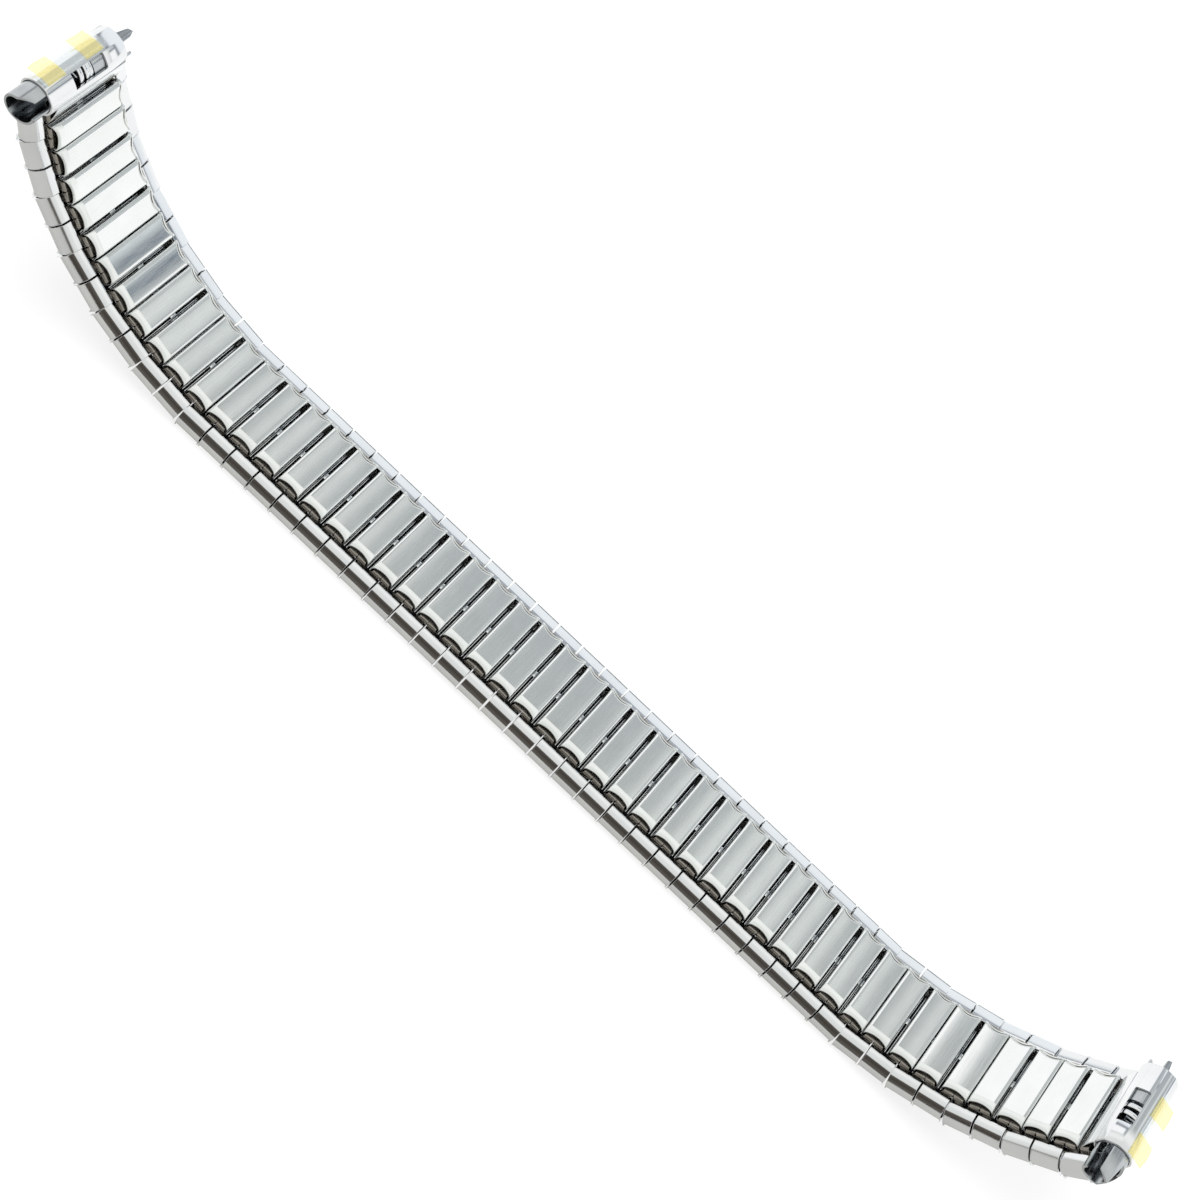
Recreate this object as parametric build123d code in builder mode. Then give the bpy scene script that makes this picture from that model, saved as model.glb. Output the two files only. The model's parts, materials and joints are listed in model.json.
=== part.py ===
from build123d import *
import math
import os

os.makedirs("parts", exist_ok=True)

# Expansion watch band, laid face down with its wrist side up and both ends curled up.
# Millimetres and degrees. X runs along the band, Y across it, Z from the face to the wrist side.
# A link's own frame has its origin under the middle of its cap, on the face.

# The band as a whole
link_count = 48
link_pitch = 3.6
middle_link = 24  # the link whose pieces are written one by one
start_curled_hinges = 6  # flexing joints that are bent at the first end
finish_curled_hinges = 5
start_curl_angle = 11.6  # bend of each of them
finish_curl_angle = 12.6
end_rest_angle = 6.0  # bend of the end pieces against the last links

# Cap: the polished shell that is folded round one outer link
cap_length = 14.0
cap_height = 2.1
cap_sheet = 0.18
cap_gap = 0.12  # between neighbouring caps
cap_flange_gap = 0.19  # between the folded edge on the back and the bows
cap_face_radius = 0.75
cap_fold_chamfer = 0.5

# Outer sleeve: the flattened tube inside the cap
outer_sleeve_sheet = 0.12
outer_seam = 0.3  # slot between the lips of its seam, on the wrist side
sleeve_seat = 0.03  # between the cap and the sleeve in it
sleeve_recess = 0.04  # from the cap's edge to the sleeve's side

# Inner sleeve: the flattened tube of the wrist-side row
inner_sleeve_gap = 0.75  # between neighbouring inner sleeves
sleeve_end_room = 1.95  # from each sleeve end to the side of the cap
inner_sleeve_side = 0.95
inner_sleeve_rise = 0.35
inner_sleeve_bevel = 0.55  # the two sloped strips beside its flat roof
inner_sleeve_sheet = 0.15
row_gap = 0.08  # between the two rows

# Bows: the flat strips, bent to a U, that tie the two rows together
bow_width = 0.92
bow_strip = 0.2
bow_leg_length = 2.6
bow_leg_gap = 0.18  # between the two legs that share a sleeve end
bow_floor_gap = 0.05  # under the leg in the inner sleeve
bow_side_gap = 0.05  # between a leg at full stretch and the sleeve's side
bow_end_gap = 0.06  # between a sleeve's end and the bow's crown
flex_height = 1.35  # the leg in the outer sleeve turns at this height

# Leaf springs: one in each sleeve, pressing the legs flat
leaf_strip = 0.14
leaf_width_share = 0.7  # of the sleeve's inside
leaf_length_share = 0.92  # of the sleeve
leaf_gap = 0.14  # left for the legs to turn in

# End fitting: tongue and sheath, rolled from one sheet
sheath_length = 11.1
sheath_shift = 0.65  # of its middle from the link's, towards the far side at the finish
sheath_bore = 3.9
sheath_sheet = 0.3
sheath_height = 2.1  # of its axis above the caps' faces
sheath_cap_gap = 0.35  # between the last cap and the sheath
window_length = 4.6
window_shift = -0.35  # of its middle from the sheath's
window_width = 1.8
window_angle = 62.0  # of its middle, from the outward side towards the wrist side
tongue_sheet = 0.16
tongue_nose_height = 0.62  # of the tongue's front edge above its floor
tongue_roll_angle = 120.0  # where the slope of the tongue meets the sheath, from the X axis

# Sliders: the telescoping tubes that reach the lugs and hold the spring bar
slider_length = 6.4
slider_fit = 0.05
slider_sheet = 0.3
slider_slit = 0.7
slider_notch = 1.75  # half the width of the V in its end, and its depth
start_near_reach = 2.7  # out of the sheath at rest
start_far_reach = 1.9
finish_near_reach = 4.5
finish_far_reach = 1.3

# Coil spring between the two sliders, wound from four-sided wire
coil_turns = 3
coil_wire = 0.3
coil_seat = 0.06
coil_samples = 96  # points along it at which its gap to itself is measured

# Places that follow from the sizes above
inner_sleeve_length = cap_length - 2 * sleeve_end_room
outer_sleeve_length = inner_sleeve_length
cap_width = link_pitch - cap_gap
outer_sleeve_width = cap_width - 2 * sleeve_recess
inner_sleeve_width = link_pitch - inner_sleeve_gap
cap_flange = sleeve_end_room - bow_end_gap - bow_strip - cap_flange_gap
outer_floor = cap_sheet + sleeve_seat
outer_sleeve_height = cap_height - outer_floor
outer_inside = outer_sleeve_width - 2 * outer_sleeve_sheet
inner_inside = inner_sleeve_width - 2 * inner_sleeve_sheet
inner_floor = cap_height + row_gap
half_pitch = link_pitch / 2
leg_offset = (bow_width + bow_leg_gap) / 2  # of a leg from its sleeve's middle
upper_leg_height = inner_floor + inner_sleeve_sheet + bow_floor_gap + bow_strip / 2
lean = Vector(half_pitch - 2 * leg_offset, 0, upper_leg_height - flex_height)
leg_slant = bow_strip * lean.X / lean.Z  # a leg's two faces stand this far apart along X
stretch = outer_inside / 2 - leg_offset - bow_width / 2 - leg_slant / 2 - bow_side_gap
crown_inside = inner_sleeve_length / 2 + bow_end_gap
eaves = inner_floor + inner_sleeve_side
ridge = eaves + inner_sleeve_rise
over = cap_length  # overrun of the cuts
print("stretch of one sliding joint, mm:", round(stretch, 3))

# Cap: a C profile across the band, extruded over the link's width
with BuildPart() as cap:
    with BuildSketch(Plane.YZ):
        with BuildLine():
            side = cap_length / 2
            inside = side - cap_sheet
            under = cap_height - cap_sheet
            outer_chamfer = cap_fold_chamfer + cap_sheet * (2 - math.sqrt(2))
            flange_tip = side - cap_flange
            Polyline(
                (0, cap_sheet),
                (side - cap_face_radius, cap_sheet),
                (inside, cap_face_radius),
                (inside, under - cap_fold_chamfer),
                (inside - cap_fold_chamfer, under),
                (flange_tip, under),
                (flange_tip, cap_height),
                (side - outer_chamfer, cap_height),
                (side, cap_height - outer_chamfer),
                (side, cap_face_radius),
            )
            turn_in = cap_face_radius * (1 - math.sqrt(0.5))
            Polyline(
                (side, cap_face_radius),
                (side - turn_in, turn_in),
                (side - cap_face_radius, 0),
                (0, 0),
            )
            mirror(about=Plane.YZ)
        make_face()
    extrude(amount=cap_width / 2, both=True)
cap.part.label = "cap"

# Outer sleeve: a flattened tube with its seam open on the wrist side
with BuildPart() as outer_sleeve:
    with BuildSketch(Plane.XZ):
        with Locations((0, outer_floor)):
            Rectangle(outer_sleeve_width, outer_sleeve_height, align=(Align.CENTER, Align.MIN))
        with Locations((0, outer_floor + outer_sleeve_sheet)):
            Rectangle(
                outer_inside,
                outer_sleeve_height - 2 * outer_sleeve_sheet,
                align=(Align.CENTER, Align.MIN),
                mode=Mode.SUBTRACT,
            )
        with Locations((0, cap_height)):
            Rectangle(outer_seam, 2 * outer_sleeve_sheet, mode=Mode.SUBTRACT)
    extrude(amount=outer_sleeve_length / 2, both=True)
outer_sleeve.part.label = "outer_sleeve"

# Inner sleeve: a flattened tube with a domed roof towards the wrist
inner_section = Plane(origin=(half_pitch, 0, 0), x_dir=(1, 0, 0), z_dir=(0, -1, 0))
with BuildPart() as inner_sleeve:
    with BuildSketch(inner_section):
        with BuildLine():
            wall = inner_sleeve_width / 2
            top = wall - inner_sleeve_bevel
            Polyline(
                (wall, eaves),
                (wall, inner_floor),
                (-wall, inner_floor),
                (-wall, eaves),
                (-top, ridge),
                (top, ridge),
                close=True,
            )
        make_face()
        with BuildLine():
            wall = inner_inside / 2
            soffit = eaves - inner_sleeve_sheet / 2
            Polyline(
                (wall, soffit),
                (wall, inner_floor + inner_sleeve_sheet),
                (-wall, inner_floor + inner_sleeve_sheet),
                (-wall, soffit),
                close=True,
            )
        make_face(mode=Mode.SUBTRACT)
    extrude(amount=inner_sleeve_length / 2, both=True)
inner_sleeve.part.label = "inner_sleeve"

# Bow: a U of flat strip that leans from the leg in the outer sleeve to the leg in the inner one
lean_share = lean.length / lean.Z
bow_plane = Plane(
    origin=(leg_offset - bow_width / 2, 0, flex_height),
    x_dir=(0, 1, 0),
    z_dir=(lean.Z, 0, -lean.X),
)
with BuildPart() as bow:
    with BuildSketch(bow_plane):
        with BuildLine():
            crown = crown_inside + bow_strip
            leg_tip = crown - bow_leg_length
            half_strip = bow_strip / 2 * lean_share
            Polyline(
                (leg_tip, -half_strip),
                (crown, -half_strip),
                (crown, lean.length + half_strip),
                (leg_tip, lean.length + half_strip),
                (leg_tip, lean.length - half_strip),
                (crown_inside, lean.length - half_strip),
                (crown_inside, half_strip),
                (leg_tip, half_strip),
                close=True,
            )
        make_face()
    extrude(amount=bow_width, dir=(1, 0, 0))
bow.part.label = "bow"
bow_across = bow.part.mirror(Plane.XZ)
fold = Plane.YZ.offset(half_pitch)
bows = [bow.part, bow_across, bow.part.mirror(fold), bow_across.mirror(fold)]
for number, piece in enumerate(bows, 1):
    piece.label = f"bow_{number}"

# Leaf springs: bent strips, bearing on the sleeve in the middle and on the legs at both ends
with BuildPart() as outer_leaf:
    with BuildSketch(Plane.YZ):
        with BuildLine():
            tip = outer_sleeve_length * leaf_length_share / 2
            low = outer_floor + outer_sleeve_sheet + sleeve_seat
            high = flex_height - bow_strip / 2 - leaf_gap
            Polyline(
                (-tip, high),
                (-tip, high - leaf_strip),
                (0, low),
                (tip, high - leaf_strip),
                (tip, high),
                (0, low + leaf_strip),
                close=True,
            )
        make_face()
    extrude(amount=outer_inside * leaf_width_share / 2, both=True)
outer_leaf.part.label = "outer_leaf_spring"

with BuildPart() as inner_leaf:
    with BuildSketch(Plane.YZ.offset(half_pitch)):
        with BuildLine():
            tip = inner_sleeve_length * leaf_length_share / 2
            low = upper_leg_height + bow_strip / 2 + sleeve_seat
            high = eaves - inner_sleeve_sheet
            Polyline(
                (-tip, low + leaf_strip),
                (-tip, low),
                (0, high - leaf_strip),
                (tip, low),
                (tip, low + leaf_strip),
                (0, high),
                close=True,
            )
        make_face()
    extrude(amount=inner_inside * leaf_width_share / 2, both=True)
inner_leaf.part.label = "inner_leaf_spring"

# End fitting: a wedge-shaped tongue that lies on the last outer link, rolled on into the sheath
sheath_radius = sheath_bore / 2 + sheath_sheet
sheath_x = cap_width / 2 + sheath_cap_gap + sheath_radius
sheath_axis = Plane(origin=(sheath_x, 0, sheath_height), x_dir=(1, 0, 0), z_dir=(0, -1, 0))
roll = math.radians(tongue_roll_angle)
roll_x = sheath_x + sheath_radius * math.cos(roll)
roll_z = sheath_height + sheath_radius * math.sin(roll)
nose_x = half_pitch - inner_sleeve_width / 2
nose_z = inner_floor + tongue_nose_height
with BuildPart() as end_fitting:
    with BuildSketch(Plane.XZ):
        Polygon(
            (nose_x, inner_floor),
            (roll_x, inner_floor),
            (roll_x, roll_z),
            (nose_x, nose_z),
            align=None,
        )
        Polygon(
            (nose_x + tongue_sheet, inner_floor + tongue_sheet),
            (roll_x, inner_floor + tongue_sheet),
            (roll_x, roll_z - 2 * tongue_sheet),
            (nose_x + tongue_sheet, nose_z - tongue_sheet),
            align=None,
            mode=Mode.SUBTRACT,
        )
    extrude(amount=inner_sleeve_length / 2, both=True)
    with BuildSketch(sheath_axis.offset(-sheath_shift)):
        Circle(sheath_radius)
    extrude(amount=sheath_length / 2, both=True)
    with BuildSketch(sheath_axis):
        Circle(sheath_bore / 2)
    extrude(amount=over, both=True, mode=Mode.SUBTRACT)
    turn = math.radians(window_angle)
    window_plane = Plane(
        origin=(sheath_x, 0, sheath_height), x_dir=(0, 1, 0), z_dir=(math.cos(turn), 0, math.sin(turn))
    )
    with BuildSketch(window_plane):
        with Locations((sheath_shift + window_shift, 0)):
            Rectangle(window_length, window_width)
    extrude(amount=over, mode=Mode.SUBTRACT)
end_fitting.part.label = "end_fitting"

# Slider: a slit tube with a V-shaped notch in its outer end, built pointing along -Y from the XZ plane
slider_radius = sheath_bore / 2 - slider_fit
with BuildPart() as slider:
    with BuildSketch(sheath_axis):
        Circle(slider_radius)
        Circle(slider_radius - slider_sheet, mode=Mode.SUBTRACT)
        with PolarLocations(slider_radius, 1, window_angle):
            Rectangle(2 * slider_radius, slider_slit, mode=Mode.SUBTRACT)
    extrude(amount=slider_length)
    with BuildSketch(Plane.XY.offset(sheath_height)):
        Polygon(
            (sheath_x - slider_notch, -slider_length),
            (sheath_x, slider_notch - slider_length),
            (sheath_x + slider_notch, -slider_length),
            align=None,
        )
    extrude(amount=over, mode=Mode.SUBTRACT)

# Where the sliders' tips are at rest, in the fitting's own frame; the start has it turned end for end
reaches = {"start": (start_far_reach, start_near_reach), "finish": (finish_near_reach, finish_far_reach)}
tips = {
    side: (
        sheath_shift - sheath_length / 2 - low_reach,
        sheath_shift + sheath_length / 2 + high_reach,
    )
    for side, (low_reach, high_reach) in reaches.items()
}

# Coil springs: one unbroken wire each, on biarcs of a quarter turn, between the sliders' inner ends
coil_radius = slider_radius - coil_wire / 2
coil_room = slider_length + coil_seat + coil_wire / 2  # from a slider's tip to the wire's end
coil_seats = {side: (low + coil_room, high - coil_room) for side, (low, high) in tips.items()}


def coil_point(turn, seats):
    angle = 2 * math.pi * turn
    return Vector(
        sheath_x + coil_radius * math.cos(angle),
        seats[0] + (seats[1] - seats[0]) * turn / coil_turns,
        sheath_height + coil_radius * math.sin(angle),
    )


def coil_direction(turn, seats):
    angle = 2 * math.pi * turn
    around = 2 * math.pi * coil_radius
    rise = (seats[1] - seats[0]) / coil_turns
    return Vector(-around * math.sin(angle), rise, around * math.cos(angle)).normalized()


def biarc(start, start_direction, finish, finish_direction):
    """The point where two arcs that share a tangent meet, between two points with given directions."""
    chord = finish - start
    turn = 1 - start_direction.dot(finish_direction)
    along = chord.dot(start_direction + finish_direction)
    reach = (math.sqrt(along**2 + 2 * turn * chord.dot(chord)) - along) / (2 * turn)
    return (start + finish + (start_direction - finish_direction) * reach) / 2


def wound(seats):
    """A coil spring between two places along Y, in the end fitting's own frame."""
    with BuildPart() as coil_spring:
        with BuildLine() as wire:
            for quarter in range(4 * coil_turns):
                start, finish = coil_point(quarter / 4, seats), coil_point((quarter + 1) / 4, seats)
                begin, end = coil_direction(quarter / 4, seats), coil_direction((quarter + 1) / 4, seats)
                meet = biarc(start, begin, finish, end)
                first = TangentArc(start, meet, tangent=begin)
                TangentArc(meet, finish, tangent=first % 1)
        section = Plane(origin=coil_point(0, seats), x_dir=(1, 0, 0), z_dir=coil_direction(0, seats))
        with BuildSketch(section):
            RegularPolygon(coil_wire / 2, 4)
        sweep()
    samples = [wire.line @ (n / coil_samples) for n in range(coil_samples + 1)]
    one_turn = coil_samples // coil_turns
    neighbours = [(a, b) for n, a in enumerate(samples) for b in samples[n + one_turn // 2:]]
    least = min((a - b).length for a, b in neighbours) - coil_wire
    print("least gap of the coil to itself, mm:", round(least, 3))
    return coil_spring.part


coils = {side: wound(seats) for side, seats in coil_seats.items()}


def turned(x, z, angle):
    """A point of the XZ plane, turned by an angle that lifts +X towards +Z."""
    c, s = math.cos(math.radians(angle)), math.sin(math.radians(angle))
    return x * c - z * s, x * s + z * c


def hinged(frame, axis_x, next_axis_x, bend):
    """The frame of a piece that turns by bend about a bow's leg, given where each piece has that leg."""
    x, z, angle = frame
    from_here = turned(axis_x, flex_height, angle)
    from_there = turned(next_axis_x, flex_height, angle + bend)
    return x + from_here[0] - from_there[0], z + from_here[1] - from_there[1], angle + bend


def slid(frame, step):
    """The frame of the neighbour that only slides."""
    x, z = turned(step, 0, frame[2])
    return frame[0] + x, frame[1] + z, frame[2]


def bend_at(joint):
    """The bend at rest of the joint between link number joint and the next one."""
    if joint < 2 * start_curled_hinges:
        return start_curl_angle
    if joint > link_count - 2 * finish_curled_hinges:
        return finish_curl_angle
    return 0


# Frames of the links, from the middle outwards: odd joints flex and even joints slide
here, there = leg_offset, link_pitch - leg_offset
frames = {middle_link: (0, 0, 0)}
for joint in range(middle_link, link_count):
    flexes = joint % 2 == 1
    frame = frames[joint]
    frames[joint + 1] = hinged(frame, there, -here, bend_at(joint)) if flexes else slid(frame, link_pitch)
for joint in reversed(range(1, middle_link)):
    flexes = joint % 2 == 1
    frame = frames[joint + 1]
    frames[joint] = hinged(frame, -here, there, -bend_at(joint)) if flexes else slid(frame, -link_pitch)
start_frame = hinged(frames[1], -here, -here, -end_rest_angle)
finish_frame = hinged(frames[link_count], here, here, end_rest_angle)


def place(piece, frame, label):
    """A copy of a piece, moved from its own frame into the band."""
    x, z, angle = frame
    copy = piece.moved(Location((x, 0, z), (0, -angle, 0)))
    copy.label = label
    return copy


# The pieces of each node
nodes = {}
outer_pieces = [cap.part, outer_sleeve.part, outer_leaf.part]
inner_pieces = [inner_sleeve.part, inner_leaf.part, *bows]
for number, frame in frames.items():
    if number == middle_link:
        nodes["middle_cap"] = [place(cap.part, frame, "cap")]
        nodes["middle_outer_sleeve"] = [place(outer_sleeve.part, frame, "outer_sleeve")]
        nodes["middle_inner_sleeve"] = [place(inner_sleeve.part, frame, "inner_sleeve")]
        nodes["middle_leaf_springs"] = [place(p, frame, p.label) for p in (outer_leaf.part, inner_leaf.part)]
        nodes["middle_bows"] = [place(p, frame, p.label) for p in bows]
    else:
        pieces = outer_pieces + (inner_pieces if number < link_count else [])
        nodes[f"link_{number:02d}"] = [place(p, frame, p.label) for p in pieces]
end_pieces = [end_fitting.part, *bows[:2]]
end_frames = {"start": start_frame, "finish": finish_frame}
for side, frame in end_frames.items():
    low_tip, high_tip = tips[side]
    low_slider = slider.part.moved(Location((0, low_tip + slider_length, 0)))
    high_slider = slider.part.mirror(Plane.XZ).moved(Location((0, high_tip - slider_length, 0)))
    starts = side == "start"
    turn_round = Location((0, 0, 0), (0, 0, 180 if starts else 0))
    groups = {
        "end_fitting": end_pieces,
        "near_slider": [high_slider if starts else low_slider],
        "far_slider": [low_slider if starts else high_slider],
        "coil_spring": [coils[side]],
    }
    for name, group in groups.items():
        nodes[f"{side}_{name}"] = [place(p.moved(turn_round), frame, name) for p in group]

# The band's origin is the middle of its footprint, on the surface that it lies on
whole = Compound([piece for group in nodes.values() for piece in group]).bounding_box()
origin = Location((-whole.center().X, -whole.center().Y, -whole.min.Z))
for name, group in nodes.items():
    moved_group = [piece.moved(origin) for piece in group]
    for piece, old in zip(moved_group, group):
        piece.label = old.label
    node = moved_group[0] if len(moved_group) == 1 else Compound(label=name, children=moved_group)
    node.label = name
    export_step(node, f"parts/{name}.step")
print("nodes:", len(nodes), "size, mm:", whole.size)
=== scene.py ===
import json
from math import cos, pi, radians, sin, tan

import bmesh
import bpy
from mathutils import Euler, Matrix, Vector


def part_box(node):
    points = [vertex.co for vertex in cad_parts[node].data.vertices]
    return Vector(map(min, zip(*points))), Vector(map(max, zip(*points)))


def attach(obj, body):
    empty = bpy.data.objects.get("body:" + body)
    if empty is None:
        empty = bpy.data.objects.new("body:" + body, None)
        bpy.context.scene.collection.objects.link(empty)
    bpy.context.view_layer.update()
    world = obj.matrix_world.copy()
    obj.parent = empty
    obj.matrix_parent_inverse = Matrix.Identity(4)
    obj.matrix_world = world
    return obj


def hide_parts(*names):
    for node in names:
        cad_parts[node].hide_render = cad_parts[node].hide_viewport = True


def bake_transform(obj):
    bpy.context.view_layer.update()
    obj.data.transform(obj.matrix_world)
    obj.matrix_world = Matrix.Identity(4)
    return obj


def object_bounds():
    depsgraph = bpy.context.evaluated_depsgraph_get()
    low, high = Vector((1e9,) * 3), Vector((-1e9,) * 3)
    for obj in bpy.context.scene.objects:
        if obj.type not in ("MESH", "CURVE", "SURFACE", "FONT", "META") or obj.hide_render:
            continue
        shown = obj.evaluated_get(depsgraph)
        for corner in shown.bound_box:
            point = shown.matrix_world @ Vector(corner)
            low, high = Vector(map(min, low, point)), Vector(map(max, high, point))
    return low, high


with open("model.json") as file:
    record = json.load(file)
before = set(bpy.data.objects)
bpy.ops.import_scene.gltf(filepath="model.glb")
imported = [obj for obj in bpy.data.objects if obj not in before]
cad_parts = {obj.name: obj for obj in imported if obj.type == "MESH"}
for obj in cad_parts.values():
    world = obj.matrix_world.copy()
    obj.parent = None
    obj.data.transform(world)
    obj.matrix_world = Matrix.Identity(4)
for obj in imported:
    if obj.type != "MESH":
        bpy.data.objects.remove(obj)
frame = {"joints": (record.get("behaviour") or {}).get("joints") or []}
cadBox = [list(corner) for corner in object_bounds()]
mm = 0.001
print("frame loaded")


# Sizes that every link shares, in millimetres, the same as in the CAD source
band = {
    "links": 48,
    "middleLink": 24,
    "pitch": 3.6,
    "legOffset": 0.55,  # of a bow's leg from the middle of its sleeve
    "flexHeight": 1.35,  # height of the leg that the flexing joint turns on
    "innerFloor": 2.18,  # underside of the inner row
}


# mesh helpers

def meshFrom(name, verts, faces):
    mesh = bpy.data.meshes.new(name)
    mesh.from_pydata([Vector(v) * mm for v in verts], [], faces)
    work = bmesh.new()
    work.from_mesh(mesh)
    bmesh.ops.remove_doubles(work, verts=work.verts, dist=0.0005 * mm)
    bmesh.ops.recalc_face_normals(work, faces=work.faces)
    work.to_mesh(mesh)
    work.free()
    return mesh


def addObject(name, data):
    item = bpy.data.objects.new(name, data)
    bpy.context.scene.collection.objects.link(item)
    return item


# Rounds the sharp edges and keeps the result, so that every link can share one mesh
def rounded(mesh, width, material, segments=3, angle=30):
    holder = addObject(mesh.name + "Holder", mesh)
    bevel = holder.modifiers.new("edges", "BEVEL")
    bevel.width = width * mm
    bevel.segments = segments
    bevel.limit_method = "ANGLE"
    bevel.angle_limit = radians(angle)
    bevel.use_clamp_overlap = True
    weights = holder.modifiers.new("normals", "WEIGHTED_NORMAL")
    weights.keep_sharp = True
    mesh.shade_smooth()
    evaluated = holder.evaluated_get(bpy.context.evaluated_depsgraph_get())
    done = bpy.data.meshes.new_from_object(evaluated)
    done.name = mesh.name + "Done"
    bpy.data.objects.remove(holder)
    done.materials.clear()
    done.materials.append(material)
    return done


# Points along an arc, angles in degrees
def arc(centre, radius, start, end, steps):
    angles = [radians(start + (end - start) * n / steps) for n in range(steps + 1)]
    return [(centre[0] + radius * cos(a), centre[1] + radius * sin(a)) for a in angles]


# Unit normals of an open path, to the left of its direction
def pathNormals(path):
    normals = []
    for n in range(len(path)):
        before, after = path[max(n - 1, 0)], path[min(n + 1, len(path) - 1)]
        along = Vector((after[0] - before[0], after[1] - before[1]))
        normals.append(Vector((-along.y, along.x)).normalized())
    return normals


# Faces of a swept sheet, whose stations each have a row of points on one side and a row on the other
def sheetFaces(stationCount, count):
    faces = []
    row, last = 2 * count, count - 1
    for station in range(stationCount - 1):
        here = station * row
        there = here + row
        for n in range(last):
            m = n + count
            faces.append((here + n, here + n + 1, there + n + 1, there + n))
            faces.append((here + m, there + m, there + m + 1, here + m + 1))
        faces.append((here, there, there + count, here + count))
        faces.append((here + last, here + count + last, there + count + last, there + last))
    for base in (0, (stationCount - 1) * row):
        for n in range(last):
            faces.append((base + n, base + count + n, base + count + n + 1, base + n + 1))
    return faces


leastSheet = 0.08  # of a sheet, where its edge falls away


# A bent sheet: a path with a thickness to its right, swept over stations of (place, inset). The inset
# has another share where the path's left side looks up, and more where it turns up.
def sheetMesh(name, path, thickness, stations, point, upShare=1.0, turnShare=0.0):
    normals = pathNormals(path)
    verts = []
    for place, inset in stations:
        for deep in (False, True):
            for (u, v), normal in zip(path, normals):
                up = max(0.0, normal.y) ** 2
                fall = inset * (1 - (1 - upShare) * up ** 2 + turnShare * 4 * up * (1 - up))
                depth = max(thickness, fall + leastSheet) if deep else fall
                verts.append(point(u - normal.x * depth, v - normal.y * depth, place))
    return meshFrom(name, verts, sheetFaces(len(stations), len(path)))


def alongX(u, v, place):
    return (place, u, v)


def alongY(u, v, place):
    return (u, place, v)


# Faces of a bar between two copies of a closed outline
def prismFaces(count):
    faces = [tuple(range(count)), tuple(range(count, 2 * count))]
    return faces + [(n, (n + 1) % count, count + (n + 1) % count, count + n) for n in range(count)]


# A flat plate or bar with a closed outline, between two places
def prismMesh(name, outline, low, high, point):
    verts = [point(u, v, place) for place in (low, high) for u, v in outline]
    return meshFrom(name, verts, prismFaces(len(outline)))


# One mesh out of several, each with its own finish
def joined(name, meshes):
    work = bmesh.new()
    finishes = []
    for mesh in meshes:
        before = len(work.faces)
        work.from_mesh(mesh)
        work.faces.ensure_lookup_table()
        for finish in mesh.materials:
            if finish not in finishes:
                finishes.append(finish)
        if mesh.materials:
            for face in work.faces[before:]:
                face.material_index = finishes.index(mesh.materials[face.material_index])
    result = bpy.data.meshes.new(name)
    work.to_mesh(result)
    work.free()
    for finish in finishes:
        result.materials.append(finish)
    return result


# materials

def linear(code):
    channels = [int(code[n:n + 2], 16) / 255 for n in (1, 3, 5)]
    return [c / 12.92 if c <= 0.04045 else ((c + 0.055) / 1.055) ** 2.4 for c in channels] + [1.0]


def newMaterial(name):
    material = bpy.data.materials.new(name)
    material.use_nodes = True
    return material, material.node_tree, material.node_tree.nodes["Principled BSDF"]


# Adds one shader node with its settings, and with its inputs, each a value or the output that feeds it
def addNode(tree, kind, settings=None, inputs=None):
    node = tree.nodes.new("ShaderNode" + kind)
    for key, value in (settings or {}).items():
        setattr(node, key, value)
    for key, value in (inputs or {}).items():
        if isinstance(value, bpy.types.NodeSocket):
            tree.links.new(value, node.inputs[key])
        else:
            node.inputs[key].default_value = value
    return node


# In metres, how far a piece's patch of the pattern may lie from another piece's
steelSpread = (0.13, 0.07, 0.05)


# Steel in its several finishes: a base tone, a slow cloudy change of it, and fine marks in a direction
def steel(name, look):
    material, tree, shader = newMaterial(name)
    shader.inputs["Metallic"].default_value = 1.0
    place = addNode(tree, "TexCoord")
    chance = addNode(tree, "ObjectInfo")
    spread = addNode(tree, "VectorMath", {"operation": "SCALE"},
                     {0: steelSpread, "Scale": chance.outputs["Random"]})
    moved = addNode(tree, "VectorMath", {"operation": "ADD"},
                    {0: place.outputs["Object"], 1: spread.outputs[0]})
    cloud = addNode(tree, "TexNoise", None,
                    {"Scale": 1 / (look["cloudSize"] * mm), "Detail": 3.0,
                     "Vector": moved.outputs[0]})
    shades = {"A": linear(look["dark"]), "B": linear(look["light"])}
    tone = addNode(tree, "Mix", {"data_type": "RGBA"}, {"Factor": cloud.outputs["Fac"], **shades})
    tree.links.new(tone.outputs["Result"], shader.inputs["Base Color"])
    squeeze = addNode(tree, "Mapping", None,
                      {"Scale": [1 / (size * mm) for size in look["markSize"]],
                       "Vector": moved.outputs[0]})
    marks = addNode(tree, "TexNoise", None,
                    {"Scale": 1.0, "Detail": 4.0, "Roughness": 0.6, "Vector": squeeze.outputs[0]})
    smooth, rubbed = look["roughness"]
    rough = addNode(tree, "MapRange", None,
                    {"From Min": 0.3, "From Max": 0.75, "To Min": smooth, "To Max": rubbed,
                     "Value": marks.outputs["Fac"]})
    tree.links.new(rough.outputs[0], shader.inputs["Roughness"])
    bump = addNode(tree, "Bump", None,
                   {"Strength": look["markStrength"], "Distance": look["markDepth"] * mm,
                    "Height": marks.outputs["Fac"]})
    tree.links.new(bump.outputs[0], shader.inputs["Normal"])
    return material


# Stainless steel, mirror polished: bright, takes sharp reflections, with a few hairline rubs along the band
polishedSteel = steel("polishedStainless", {
    "dark": "#dfe1e3", "light": "#f1f2f3", "cloudSize": 6.0,
    "markSize": (2.4, 0.09, 0.09), "roughness": (0.07, 0.17), "markStrength": 0.05, "markDepth": 0.01,
})
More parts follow.
